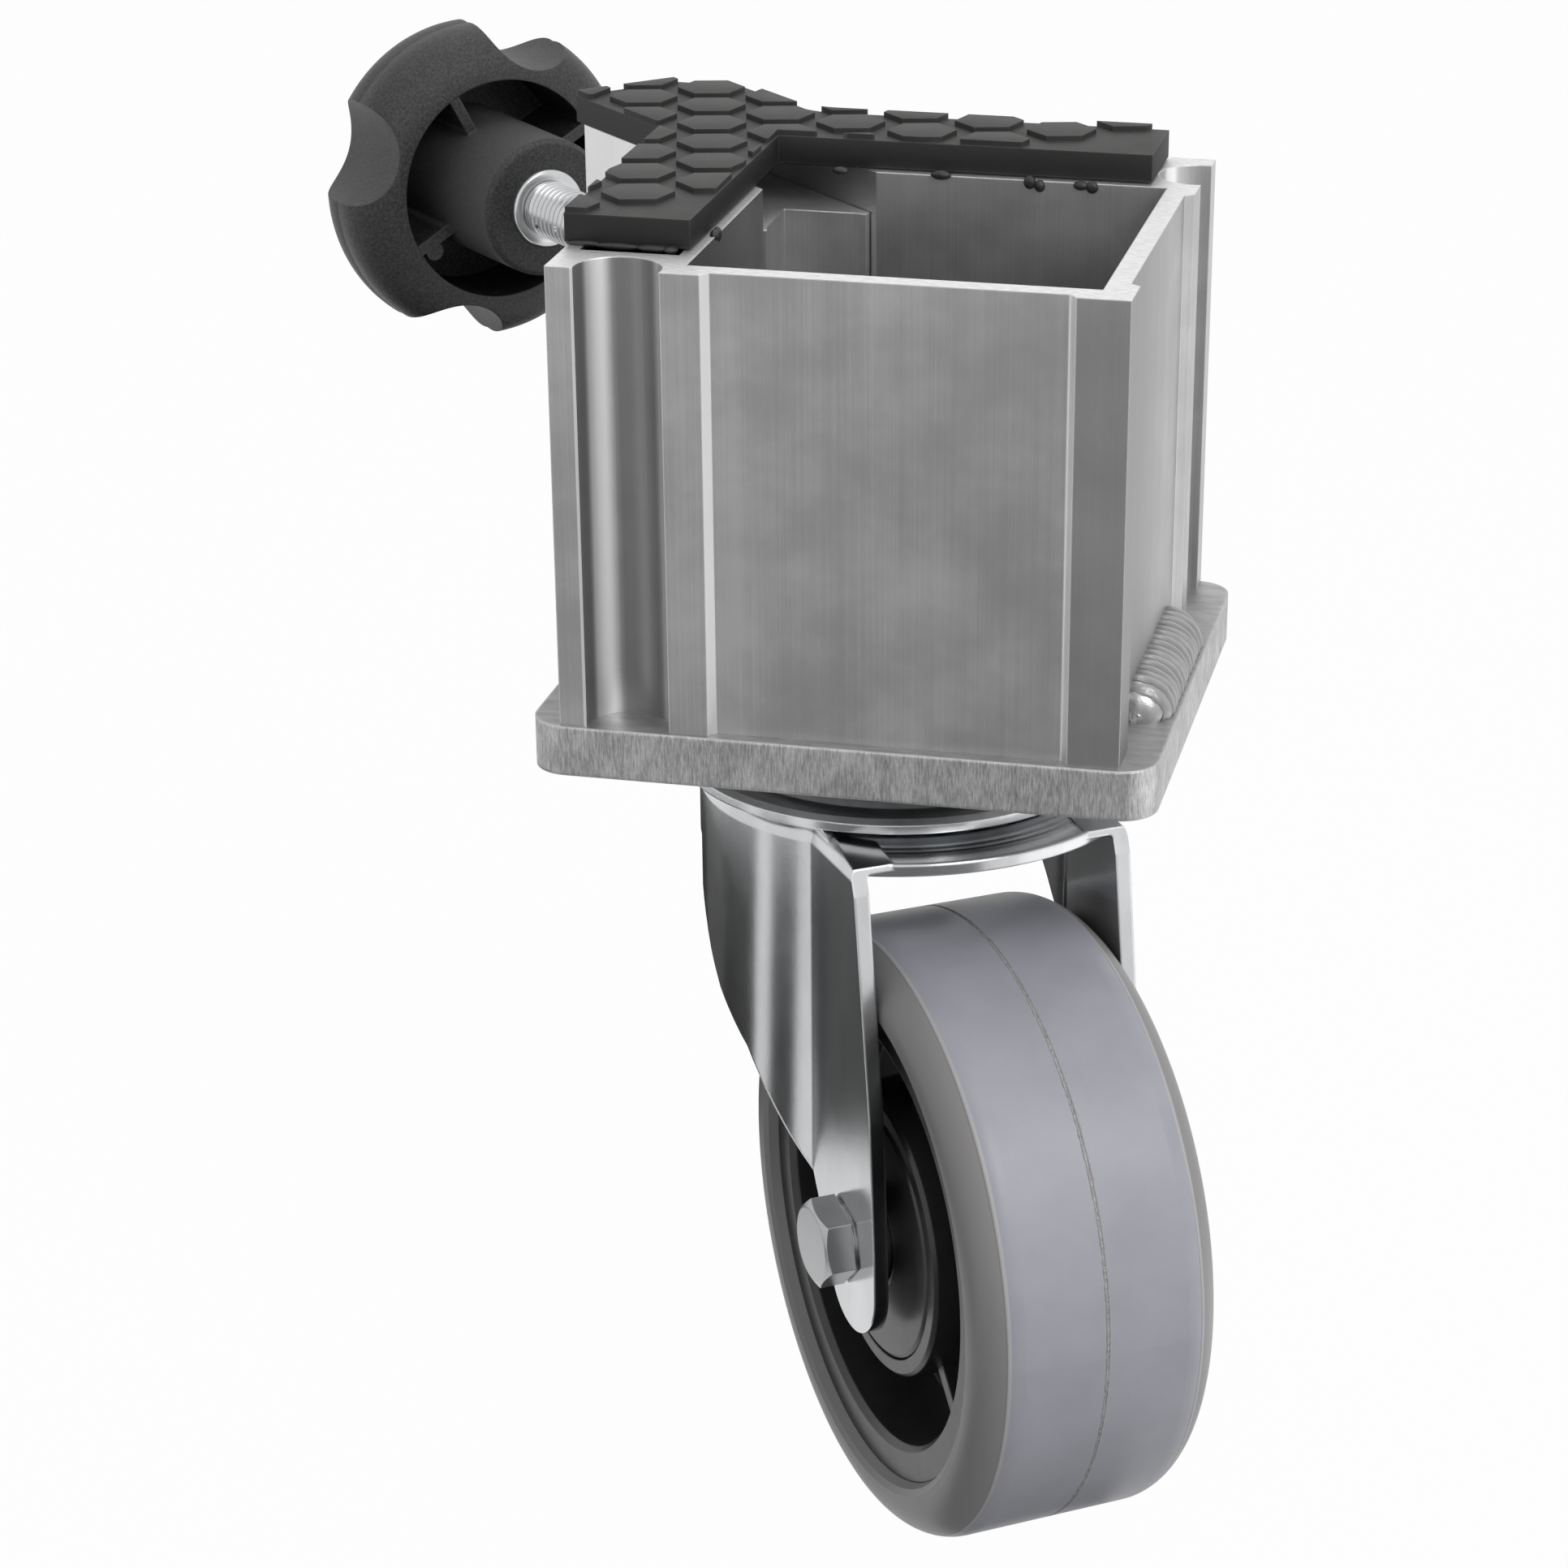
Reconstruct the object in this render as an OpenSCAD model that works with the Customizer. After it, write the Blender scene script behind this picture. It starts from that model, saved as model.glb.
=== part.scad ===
// Swivel castor for a square post, with a screw clamp and a rubber deck pad.
// Millimetres. The origin is the centre of the post socket on the top face of the base plate.
// +X runs along the front wall to the right, +Y to the back, +Z up.
// The screw clamp works along the diagonal that runs from the socket to the back left corner.

/* [Post and housing] */
// Side of the square post that the housing takes
post_side = 60; // [50:1:66]
// Play between the post and each wall
post_play = 0.9; // [0.3:0.1:1.5]
// Thickness of the two plain walls
thin_wall = 4.95; // [4:0.05:7]
// Thickness of the two chambered walls beside the clamp
thick_wall = 20.25; // [19:0.05:24]
// Height of the extruded housing
housing_h = 72; // [66:1:90]
// Skin thickness round the hollow chambers
chamber_skin = 2.5; // [2:0.1:3]
// Radius of the round flutes near two corners
flute_r = 6.6; // [5:0.1:7]
// Distance of a flute's centre from its corner
flute_at = 10.8; // [10:0.1:12]
// Depth of the flute's centre line under the wall's face
flute_sink = 1.0; // [0.5:0.1:1.5]
// Depth of the recessed field on a plain wall
field_depth = 1.5; // [0.5:0.1:2]
// Width of the raised land between the flute and the field
land_w = 6.0; // [4:0.1:7]
// Width of the raised land at the shared corner
corner_land = 8.0; // [5:0.1:12]

/* [Base plate] */
// Thickness of the base plate
plate_t = 8; // [6:0.5:12]
// Corner radius of the base plate
plate_corner = 6; // [3:0.5:8]
// Plate margin on the left side
margin_left = 5.3; // [4:0.1:12]
// Plate margin on the right side
margin_right = 5.4; // [4:0.1:12]
// Plate margin at the front
margin_front = 0.75; // [0.5:0.05:6]
// Plate margin at the back
margin_back = 0.35; // [0.2:0.05:6]
// Radius of the weld bead along the right wall
bead_r = 6.3; // [3:0.1:6.5]
// Length of a weld bead
bead_len = 43; // [30:1:44]
// Middle of a weld bead along its wall
bead_mid = 4.6; // [0:0.1:5]
// Pitch of the weld ripples
bead_pitch = 3; // [2:0.1:4]

/* [Clamp] */
// Width of the clamp jaw
jaw_w = 20.8; // [16:0.2:21]
// Running clearance on each side of the jaw
jaw_play = 0.2; // [0.1:0.05:0.4]
// Depth of the jaw bay behind the socket's corner
bay_depth = 31.3; // [30:0.5:34]
// Thickness of the tapped end wall
end_wall = 12; // [10:0.5:16]
// Side wall thickness of the clamp neck
neck_wall = 2.1; // [1.6:0.1:3]
// Height of the jaw's top
jaw_top = 65.1; // [61:0.1:65.5]
// Gap under the jaw
jaw_gap = 3; // [1:0.5:5]
// Length of the jaw behind its notch
jaw_len = 25.9; // [24:0.1:26]
// Height of the clamp screw's axis
screw_z = 48.1; // [44:0.1:49]
// Thread diameter of the clamp screw
screw_d = 10; // [9:0.5:12]
// Length of the screw between the jaw and the knob
screw_free = 53.8; // [50:0.1:60]
// Diameter of the screw's plain journal
journal_d = 8; // [7:0.1:8.4]
// Depth to which the journal enters the jaw
journal_in = 14; // [12:0.5:16]
// Diameter of the cross pin that holds the journal
cross_pin_d = 3; // [2:0.1:3.2]

/* [Knob] */
// Diameter of the knob over its lobes
knob_d = 57; // [55:0.5:62]
// Diameter of the knob's boss
boss_d = 24.6; // [22:0.1:26]
// Length from the boss face to the rim of the knob
boss_out = 16.5; // [12:0.5:20]
// Height of the knob's head from rim to dome
head_h = 23.2; // [22:0.1:26]
// Radius of the finger scallops
scallop_r = 10.5; // [8:0.5:12]
// Smallest radius of the knob at a scallop
waist_r = 21.8; // [21.5:0.1:24]
// Radial thickness of the knob's ring
ring_t = 8.8; // [8:0.1:9.5]
// Thickness of the ribs inside the knob
knob_rib = 2; // [1.5:0.1:3]

/* [Rubber pad] */
// Thickness of the glue under the pad
glue_t = 0.4; // [0.2:0.1:1]
// Thickness of the pad below its tread
pad_t = 4.3; // [3:0.1:6]
// Height of the raised tread
tread_h = 0.95; // [0.5:0.05:1.5]
// Distance between neighbouring tread blocks
tread_pitch = 12.94; // [12:0.02:15]
// Radius over the corners of a tread block
tread_r = 5.6; // [4:0.1:6]
// Turn of the tread pattern on the pad
tread_turn = 14.57; // [0:0.01:30]
// Width of the pad on the left wall
pad_w_left = 19.4; // [16:0.1:19.8]
// Width of the pad on the back wall
pad_w_back = 17.6; // [15:0.1:18.5]
// Half width of the pad on the clamp neck
pad_neck = 13.4; // [11:0.1:14]

/* [Swivel head] */
// Angle by which the wheel is steered at rest
steer = 55.2; // [0:0.1:360]
// Diameter of the centre bolt
king_d = 10; // [8:0.5:10]
// Width across the flats of the centre bolt's head
king_af = 16; // [15:0.5:17]
// Height of the centre bolt's head
king_head_h = 5.6; // [5:0.1:6.4]
// Diameter of the washer under the lock nut
washer_d = 21; // [20:0.5:24]
// Thickness of the washer under the lock nut
washer_t = 2; // [1.5:0.1:2.5]
// Width across the flats of the lock nut
nut_af = 17; // [16:0.5:18]
// Height of the lock nut
nut_h = 10; // [9:0.5:11]
// Depth of the upper ball cup's dish
dish_h = 5.3; // [5:0.1:6]
// Radius over the rim of the upper ball cup
cup_r = 35; // [34:0.1:36]
// Sheet thickness of the ball cups
cup_t = 2; // [1.5:0.1:2]
// Diameter of the upper balls
ball_d = 6; // [5:0.1:6.2]
// Radius of the upper ball track
track_r = 24; // [23.8:0.1:24.2]
// Number of the upper balls
ball_n = 22; // [12:1:23]
// Diameter of the lower balls
low_ball_d = 4; // [3.5:0.1:4.5]
// Thickness of the flange that holds the lower ball cup
flange_t = 0.9; // [0.8:0.1:1.5]
// Radius of the lower ball track
low_track_r = 15.5; // [15:0.1:16]

/* [Fork] */
// Sheet thickness of the fork
fork_t = 2.5; // [2:0.1:3]
// Inner radius of the fork's bends
bend_in = 0.8; // [0.6:0.1:1.5]
// Width over the fork's legs
fork_w = 47; // [47:0.1:50]
// Outer radius of the rounded back of the fork
fork_back_r = 32; // [31:0.1:33]
// Radius of the crown's front lip
lip_r = 41.8; // [40:0.1:44]
// Distance of the axle behind the swivel axis
trail = 33.9; // [32:0.1:36]
// Height of the axle below the base plate's top face
axle_drop = 86; // [86:0.5:96]
// Radius of the fork leg's round end
leg_end_r = 9.5; // [9:0.1:12]

/* [Wheel] */
// Diameter of the wheel
wheel_d = 101.4; // [94:0.2:104]
// Width of the tyre
tyre_w = 41; // [38:0.1:41.2]
// Radius of the tyre's shoulders
shoulder_r = 6.8; // [4:0.1:9]
// Radial thickness of the tyre
tyre_t = 9.7; // [9.5:0.1:12]
// Width of the rim
rim_w = 36.8; // [36:0.1:37.5]
// Radial width of the rim's flat edge
rim_edge = 5.8; // [4:0.1:6]
// Width of the hub
hub_w = 34.8; // [34:0.1:35.5]
// Thickness of the rim's web
web_t = 8; // [5:0.5:10]
// Radius of the hub
hub_r = 24; // [23:0.1:26]
// Number of the ribs on each side of the web
rib_n = 3; // [3:1:8]
// Outer diameter of a ball bearing
bearing_od = 32; // [31:0.5:33]
// Bore of a ball bearing
bearing_id = 12; // [12:0.5:13]
// Width of a ball bearing
bearing_w = 10; // [8:0.5:11]
// Number of the balls in a bearing
bearing_n = 8; // [6:1:10]
// Diameter of the axle bolt
axle_d = 8; // [6:0.5:8]
// Width across the flats of the axle bolt's head
axle_af = 13; // [12:0.5:14]

/* [Hidden] */

r2 = sqrt(2);
fit = 0.05;
socket = post_side / 2 + post_play;
x0 = -socket - thick_wall;
x1 = socket + thin_wall;
y0 = -x1;
y1 = -x0;
sx = (x0 + x1) / 2;
corner_u = socket * r2;
bay_half = jaw_w / 2 + jaw_play;
bay_end = corner_u + bay_depth;
neck_end = bay_end + end_wall;
neck_half = bay_half + neck_wall;
jaw_notch = corner_u + 0.4;
jaw_back = jaw_notch + jaw_len;
thread_start = jaw_back + 0.3;
boss_face = thread_start + screw_free + 0.7;
rim_u = boss_face + boss_out;
knob_r = knob_d / 2;
insert_r = screw_d / 2 + 2;
insert_end = rim_u + 4.7;
knob_floor = rim_u + 16.7;
knob_top = rim_u + head_h;
cavity_r = knob_r - ring_t;
pin_at = thread_start - journal_in + 5.7;
pin_rise = journal_d / 2 + 0.45;
groove_r = pin_rise - cross_pin_d / 2 - fit;
pad_z = housing_h + glue_t;
pad_top = pad_z + pad_t;
tread_top = pad_top + tread_h;
king_r = king_d / 2;
cup_top = -plate_t;
ball_r = ball_d / 2;
ball_z = cup_top - dish_h - cup_t - ball_r;
race_top = ball_z - ball_r - 0.02;
race_bot = race_top - fork_t;
low_ball_r = low_ball_d / 2;
low_ball_z = race_bot - low_ball_r - 0.02;
low_cup_top = low_ball_z - low_ball_r - 0.02;
low_cup_bot = low_cup_top - cup_t;
flange_bot = low_cup_bot - flange_t;
sleeve_r = king_r + 3;
crown_top = ball_z + 0.1;
lip_top = ball_z - 1.4;
bend_r = fork_t + bend_in;
race_wall = track_r + ball_r + 0.4;
leg_out = fork_w / 2;
leg_in = leg_out - fork_t;
leg_x = sqrt(pow(fork_back_r, 2) - pow(leg_out, 2));
end_x = trail + 4.2;
end_z = -axle_drop - 4.6;
axle_r = axle_d / 2;
tube_r = bearing_id / 2;
wheel_r = wheel_d / 2;
rim_r = wheel_r - tyre_t;
rim_half = rim_w / 2;
hub_half = hub_w / 2;
cap_seat = 1.7;
bearing_out = hub_half - cap_seat - 0.2;
bearing_in = bearing_out - bearing_w;
brg_r = bearing_od / 2;
pitch_r = (brg_r + tube_r) / 2;
bb_r = (brg_r - tube_r) * 0.24;

module swivel_frame() { translate([sx, -sx, 0]) rotate([0, 0, -steer]) children(); }
module wheel_frame() { swivel_frame() translate([trail, 0, -axle_drop]) rotate([-90, 0, 0]) children(); }
module diagonal() { rotate([0, 0, 45]) children(); }
module screw_frame() { translate([0, 0, screw_z]) rotate([0, 0, 135]) rotate([0, 90, 0]) children(); }
module twin() { children(); mirror([1, 1, 0]) children(); }
module both() { children(); mirror([0, 0, 1]) children(); }
module hex(af, h) { cylinder(d = af / cos(30), h = h, $fn = 6); }

// A hexagon whose corners are turned off at its end, and at its foot too if twice
module hex_head(af, h, twice = false) {
  r = af / cos(30) / 2;
  i = af / 2 * 0.94;
  intersection() {
    hex(af, h);
    rotate_extrude($fn = 96) polygon([[0, 0], [twice ? i : r + 1, 0],
      [r + 1, twice ? (r + 1 - i) * tan(30) : 0],
      [r + 1, h - (r + 1 - i) * tan(30)], [i, h], [0, h]]);
  }
}

// One plain wall's cuts, seen from the front, and the chamber of the wall to its left
module wall_cuts() {
  fx = x0 + flute_at;
  land_end = fx + flute_r + land_w;
  field_end = x1 - corner_land;
  translate([fx, y0 + flute_sink]) circle(r = flute_r, $fn = 64);
  polygon([[land_end, y0 - 1], [land_end, y0], [land_end + 1.1, y0 + field_depth],
    [field_end - 1.1, y0 + field_depth], [field_end, y0], [field_end, y0 - 1]]);
  chamber_v = (neck_half + 0.5) * r2;
  front = y0 + flute_sink + flute_r + chamber_skin;
  left = x0 + chamber_skin;
  right = -socket - chamber_skin;
  polygon([[left, front], [right, front], [right, -right - chamber_v], [left, -left - chamber_v]]);
}

module housing_profile() {
  color("silver")
  difference() {
    linear_extrude(height = housing_h) difference() {
      union() {
        difference() {
          translate([x0, y0]) square([x1 - x0, y1 - y0]);
          twin() wall_cuts();
        }
        diagonal() translate([-neck_half, corner_u - 2]) square([2 * neck_half, neck_end - corner_u + 2]);
      }
      translate([-socket, -socket]) square(2 * socket);
      diagonal() translate([-bay_half, 0]) square([2 * bay_half, bay_end]);
    }
    screw_frame() translate([0, 0, bay_end - 1]) cylinder(r = screw_d / 2 + fit, h = end_wall + 2,
      $fn = 64);
  }
}

module base_plate() {
  px = x0 - margin_left;
  py = y0 - margin_front;
  pw = x1 + margin_right - px;
  pd = y1 + margin_back - py;
  c = plate_corner;
  color("gainsboro")
  difference() {
    translate([0, 0, -plate_t]) linear_extrude(height = plate_t) union() {
      translate([px + c, py]) square([pw - 2 * c, pd]);
      translate([px, py + c]) square([pw, pd - 2 * c]);
      for (i = [0, 1], j = [0, 1])
        translate([px + c + i * (pw - 2 * c), py + c + j * (pd - 2 * c)]) circle(r = c, $fn = 48);
    }
    translate([sx, -sx, -plate_t - 1]) cylinder(r = king_r + 0.25, h = plate_t + 2, $fn = 48);
  }
}

// A ripple bead in the corner between a wall at x = 0 and the plate, along +Y
module bead(r) {
  n = floor((bead_len - 2 * r) / bead_pitch);
  difference() {
    union() for (i = [0 : n]) translate([0, r + i * bead_pitch, 0]) sphere(r = r, $fn = 32);
    translate([-2 * r, -2 * r, -2 * r]) cube([2 * r, bead_len + 4 * r, 4 * r]);
    translate([-2 * r, -2 * r, -2 * r]) cube([4 * r, bead_len + 4 * r, 2 * r]);
  }
}

module weld_beads() {
  color("darkgray") {
    translate([x1 - field_depth, bead_mid - bead_len / 2, 0])
      bead(min(bead_r, margin_right + field_depth - 0.3));
    translate([x0, bead_mid - bead_len / 2, 0]) mirror([1, 0, 0]) bead(min(bead_r, margin_left - 0.3));
  }
}

module pad_outline(in = 0) {
  px = x0 - 0.55 + in;
  pxr = x0 - 0.55 + pad_w_left - in;
  py = y1 - 1.25 - in;
  pyf = y1 - 1.25 - pad_w_back + in;
  front = y0 + 12.65 + in;
  right = x1 - 7.55 - in;
  nk = pad_neck - in;
  tip = neck_end + 1.2 - in;
  cut = 0.55 * pad_neck;
  fr = 11;
  k = [nk * r2 - py, py];
  a = fr / tan(67.5);
  m = [k[0] + fr / sin(67.5) * cos(67.5), k[1] + fr / sin(67.5) * sin(67.5)];
  translate([px, front]) square([pxr - px, py - front]);
  translate([px, pyf]) square([right - px, py - pyf]);
  diagonal() polygon([[-nk, corner_u + 2.3], [nk, corner_u + 2.3], [nk, tip - cut - 0.8],
    [nk - cut, tip], [-nk, tip]]);
  difference() {
    polygon([k - [1, 1], [k[0] + a, k[1] - 1], [k[0] + a, k[1]], m,
      [k[0] - a / r2, k[1] + a / r2], [k[0] - a / r2 - 1, k[1] + a / r2 - 1]]);
    translate(m) circle(r = fr, $fn = 64);
  }
}

// Places each tread block of the slanting pattern
module tread_grid() {
  p = tread_pitch;
  for (i = [-8 : 8], j = [-8 : 8]) {
    q = [-34.18 + p * (i * cos(90 + tread_turn) + j * cos(30 + tread_turn)),
      -2.56 + p * (i * sin(90 + tread_turn) + j * sin(30 + tread_turn))];
    if (q[0] > x0 - 30 && q[0] < x1 && q[1] > y0 && q[1] < y1 + 30 && q[0] - q[1] < -25
      && (q[0] < x0 + pad_w_left + 6 || q[1] > y1 - pad_w_back - 7) && q[1] - q[0] < neck_end * r2 + 4)
      translate(q) rotate([0, 0, tread_turn]) children();
  }
}

module rubber_pad() {
  color([0.13, 0.13, 0.13]) {
    translate([0, 0, pad_z]) linear_extrude(height = pad_t) pad_outline();
    translate([0, 0, pad_top]) linear_extrude(height = tread_h)
      intersection() { pad_outline(0.15); tread_grid() circle(r = tread_r, $fn = 6); }
  }
}

module glue_film() {
  color([0.2, 0.2, 0.2]) {
    translate([0, 0, housing_h]) linear_extrude(height = glue_t) intersection() {
      pad_outline(0.8);
      union() {
        translate([x0, y0]) square([x1 - x0, y1 - y0]);
        diagonal() translate([-neck_half, corner_u]) square([2 * neck_half, neck_end - corner_u]);
      }
    }
  }
}

module centre_bolt() {
  color("silver") translate([sx, -sx, 0]) {
    translate([0, 0, flange_bot]) mirror([0, 0, 1]) hex_head(king_af, king_head_h);
    translate([0, 0, flange_bot - 0.1]) cylinder(r = king_r, h = washer_t + nut_h + 2.1 - flange_bot,
      $fn = 48);
  }
}

module plate_washer() {
  color("silver") translate([sx, -sx, 0]) difference() {
    cylinder(d = washer_d, h = washer_t, $fn = 64);
    translate([0, 0, -1]) cylinder(r = king_r + 0.25, h = washer_t + 2, $fn = 48);
  }
}

module lock_nut() {
  color("silver") translate([sx, -sx, washer_t]) difference() {
    union() {
      hex_head(nut_af, nut_h - 2);
      translate([0, 0, nut_h - 2]) cylinder(r = nut_af / 2 - 1.2, h = 2, $fn = 64);
    }
    translate([0, 0, -1]) cylinder(r = king_r + fit, h = nut_h + 2, $fn = 48);
  }
}

module upper_race_cup() {
  t = cup_t;
  z0 = cup_top;
  z1 = z0 - dish_h;
  z2 = z1 - 2;
  w = ball_r + 0.4;
  color("silver") translate([sx, -sx, 0]) rotate_extrude($fn = 96) difference() {
    polygon([[sleeve_r + fit, z0], [track_r - w - 4, z0], [track_r - w - 1, z1], [track_r + w + 0.7, z1],
      [track_r + w + 2.7, z2], [cup_r - 0.9, z2], [cup_r, z2 - 0.9], [cup_r, z2 - 2.3],
      [cup_r - 1.2, z2 - 2.3],
      [cup_r - 2.4, z2 - t + 0.4], [track_r + w, z2 - t + 0.4], [track_r + w, z1 - t],
      [track_r - w, z1 - t],
      [track_r - w - 4.8, z0 - t], [sleeve_r + fit, z0 - t]]);
  }
}

module king_sleeve() {
  color("silver") translate([sx, -sx, 0]) rotate_extrude($fn = 64)
    polygon([[king_r + 0.3, cup_top], [sleeve_r, cup_top], [sleeve_r, low_cup_bot],
      [sleeve_r + 2, low_cup_bot],
      [sleeve_r + 2, flange_bot], [king_r + 0.3, flange_bot]]);
}

module lower_race_cup() {
  color("silver") translate([sx, -sx, 0]) rotate_extrude($fn = 64) difference() {
    polygon([[sleeve_r + fit, low_cup_bot], [low_track_r + low_ball_r + 2, low_cup_bot],
      [low_track_r + low_ball_r + 2.6, low_cup_top + 1.4],
      [low_track_r + low_ball_r + 0.8, low_cup_top + 1.4],
      [low_track_r + low_ball_r + 0.3, low_cup_top], [sleeve_r + fit, low_cup_top]]);
  }
}

module clamp_jaw() {
  h = jaw_w / 2;
  n = jaw_notch;
  color("gainsboro")
  difference() {
    translate([0, 0, jaw_gap]) linear_extrude(height = jaw_top - jaw_gap) diagonal() difference() {
      polygon([[-h, n - h + 1.1], [-h + 1.1, n - h + 0.4], [-h + 2.3, n - h + 2.3], [0, n],
        [h - 2.3, n - h + 2.3], [h - 1.1, n - h + 0.4], [h, n - h + 1.1], [h, jaw_back], [-h, jaw_back]]);
    }
    screw_frame() translate([0, 0, thread_start - journal_in - 1])
      cylinder(r = journal_d / 2 + 0.1, h = journal_in + 5, $fn = 48);
    translate([0, 0, screw_z + pin_rise]) diagonal() translate([0, pin_at, 0]) rotate([0, 90, 0])
      translate([0, 0, -h - 1]) cylinder(r = cross_pin_d / 2 + 0.02, h = jaw_w + 2, $fn = 32);
  }
}

module retaining_pin() {
  color("silver") translate([0, 0, screw_z + pin_rise]) diagonal() translate([0, pin_at, 0])
    rotate([0, 90, 0])
    translate([0, 0, -jaw_w / 2 + 0.2]) cylinder(r = cross_pin_d / 2, h = jaw_w - 0.4, $fn = 32);
}

module clamp_knob() {
  q = knob_r - cavity_r;
  dr = (22 * 22 + 9) / 6;
  color([0.16, 0.16, 0.17])
  screw_frame() difference() {
    union() {
      difference() {
        rotate_extrude($fn = 128) union() {
          translate([cavity_r, rim_u + q]) circle(r = q, $fn = 96);
          translate([knob_r - 8, knob_top - 3 - 8]) circle(r = 8, $fn = 96);
          intersection() {
            translate([0, rim_u + 3.7]) square([knob_r - 8, head_h]);
            translate([0, knob_top - dr]) circle(r = dr, $fn = 360);
          }
        }
        translate([0, 0, rim_u - 1]) cylinder(r = cavity_r, h = knob_floor - rim_u + 1, $fn = 96);
        for (k = [0 : 3]) rotate([0, 0, 17 + 90 * k]) translate([waist_r + scallop_r, 0, rim_u - 1])
          cylinder(r = scallop_r, h = head_h + 2, $fn = 64);
      }
      translate([0, 0, boss_face])
        rotate_extrude($fn = 96) polygon([[0, 0], [boss_d / 2 - 0.8, 0], [boss_d / 2, 0.8],
          [boss_d / 2 + 0.3, knob_floor + 1 - boss_face], [0, knob_floor + 1 - boss_face]]);
      for (k = [0 : 3]) rotate([0, 0, 62 + 90 * k])
        translate([boss_d / 2 - 0.6, -knob_rib / 2, rim_u + 0.3])
          cube([cavity_r - boss_d / 2 + 1.2, knob_rib, knob_floor - rim_u]);
      rotate([0, 0, 56]) translate([17.2, 0, rim_u + 0.6])
        cylinder(r = 1.7, h = knob_floor - rim_u, $fn = 24);
    }
    translate([0, 0, boss_face - 1]) cylinder(r = insert_r + 0.02, h = insert_end - boss_face + 1.02,
      $fn = 64);
  }
}

module knob_stud() {
  r = screw_d / 2;
  j = journal_d / 2;
  a = thread_start - journal_in;
  color("silver") screw_frame() rotate_extrude($fn = 64)
    polygon([[0, a], [j - 0.6, a], [j, a + 0.6], [j, pin_at - cross_pin_d / 2 - 0.1],
      [groove_r, pin_at - cross_pin_d / 2 - 0.1], [groove_r, pin_at + cross_pin_d / 2 + 0.1],
      [j, pin_at + cross_pin_d / 2 + 0.1], [j, thread_start], [r - 0.8, thread_start],
      [r, thread_start + 0.8],
      [r, boss_face - 0.7], [insert_r, boss_face - 0.7], [insert_r, insert_end], [0, insert_end]]);
}

// Section of the bent edge: a flat of length reach that turns down at radius r_out
module bent_edge(r_out, top, reach, drop) {
  b = bend_r;
  difference() {
    union() {
      translate([r_out - b - reach, top - fork_t]) square([reach + 0.01, fork_t]);
      translate([r_out - fork_t, -drop]) square([fork_t, drop + top - b + 0.01]);
      intersection() {
        translate([r_out - b, top - b]) circle(r = b, $fn = 64);
        translate([r_out - b, top - b]) square([b, b]);
      }
    }
    translate([r_out - b, top - b]) circle(r = b - fork_t, $fn = 48);
  }
}

// Side view of the fork, x to the front of the fork and y up
module fork_side() {
  s = [-7.7, crown_top - 21];
  e = [end_x - leg_end_r, end_z];
  f = [[0, 0], [0.16, 0.174], [0.272, 0.276], [0.493, 0.424], [0.69, 0.648], [0.891, 0.876], [1, 1]];
  union() {
    polygon(concat([[-50, 0], [leg_x + 2.5, 0], [leg_x + 2.5, crown_top], [trail + 4.2, lip_top],
      [trail + 5.8, lip_top - 4],
        [end_x + leg_end_r - 2, -0.7 * axle_drop], [end_x + leg_end_r - 0.2, end_z + 8],
        [end_x + leg_end_r, end_z]],
      [for (k = [6 : -1 : 0]) [s[0] + f[k][0] * (e[0] - s[0]), s[1] + f[k][1] * (e[1] - s[1])]],
      [[s[0], crown_top - 12], [-50, crown_top - 12]]));
    translate([end_x, end_z]) circle(r = leg_end_r, $fn = 96);
  }
}

module fork() {
  crown_r = fork_back_r - bend_r;
  color("silver") swivel_frame() difference() {
    union() {
      // ball race and front lip
      intersection() {
        rotate_extrude($fn = 128) polygon([[sleeve_r + 2.5, crown_top], [cup_r - 2, crown_top],
          [cup_r - 1.2, crown_top - 0.25], [cup_r - 0.2, crown_top - 0.75],
          [cup_r + 1, lip_top + 0.28], [cup_r + 2.2, lip_top + 0.06], [cup_r + 3.4, lip_top],
          [lip_r - 0.3, lip_top],
          [lip_r, lip_top - 0.3], [lip_r, lip_top - fork_t + 0.4],
          [cup_r - 2, lip_top - fork_t + 0.4], [crown_r, race_bot], [sleeve_r + 2.5, race_bot]]);
        translate([0, 0, -60]) linear_extrude(height = 60) union() {
          circle(r = fork_back_r - 0.8, $fn = 96);
          translate([0, -leg_out + 0.8]) square([60, fork_w - 1.6]);
        }
      }
      // rounded back and straight legs
      intersection() {
        union() {
          difference() {
            rotate_extrude($fn = 128) bent_edge(fork_back_r, crown_top, 3, leg_end_r - end_z + 1);
            translate([leg_x - fit, -60, -150]) cube([60, 120, 200]);
            translate([0, -leg_in + 0.2, -150]) cube([60, 2 * leg_in - 0.4, 149 + race_bot]);
          }
          for (s = [0, 1]) mirror([0, s, 0]) rotate([90, 0, 90]) translate([0, 0, leg_x - 0.4])
            linear_extrude(height = 40) bent_edge(leg_out, crown_top, 4, leg_end_r - end_z + 1);
        }
        translate([0, 60, 0]) rotate([90, 0, 0]) linear_extrude(height = 120) fork_side();
      }
    }
    translate([0, 0, race_top]) cylinder(r = race_wall, h = 10, $fn = 128);
    wheel_holes();
  }
}

module wheel_holes() {
  translate([trail, 0, -axle_drop]) rotate([-90, 0, 0]) translate([0, 0, -40])
    cylinder(r = axle_r + 0.1, h = 80, $fn = 48);
}

module upper_balls() {
  color("silver") swivel_frame() for (k = [0 : ball_n - 1]) rotate([0, 0, k * 360 / ball_n])
    translate([track_r, 0, ball_z]) sphere(r = ball_r, $fn = 24);
}

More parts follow.
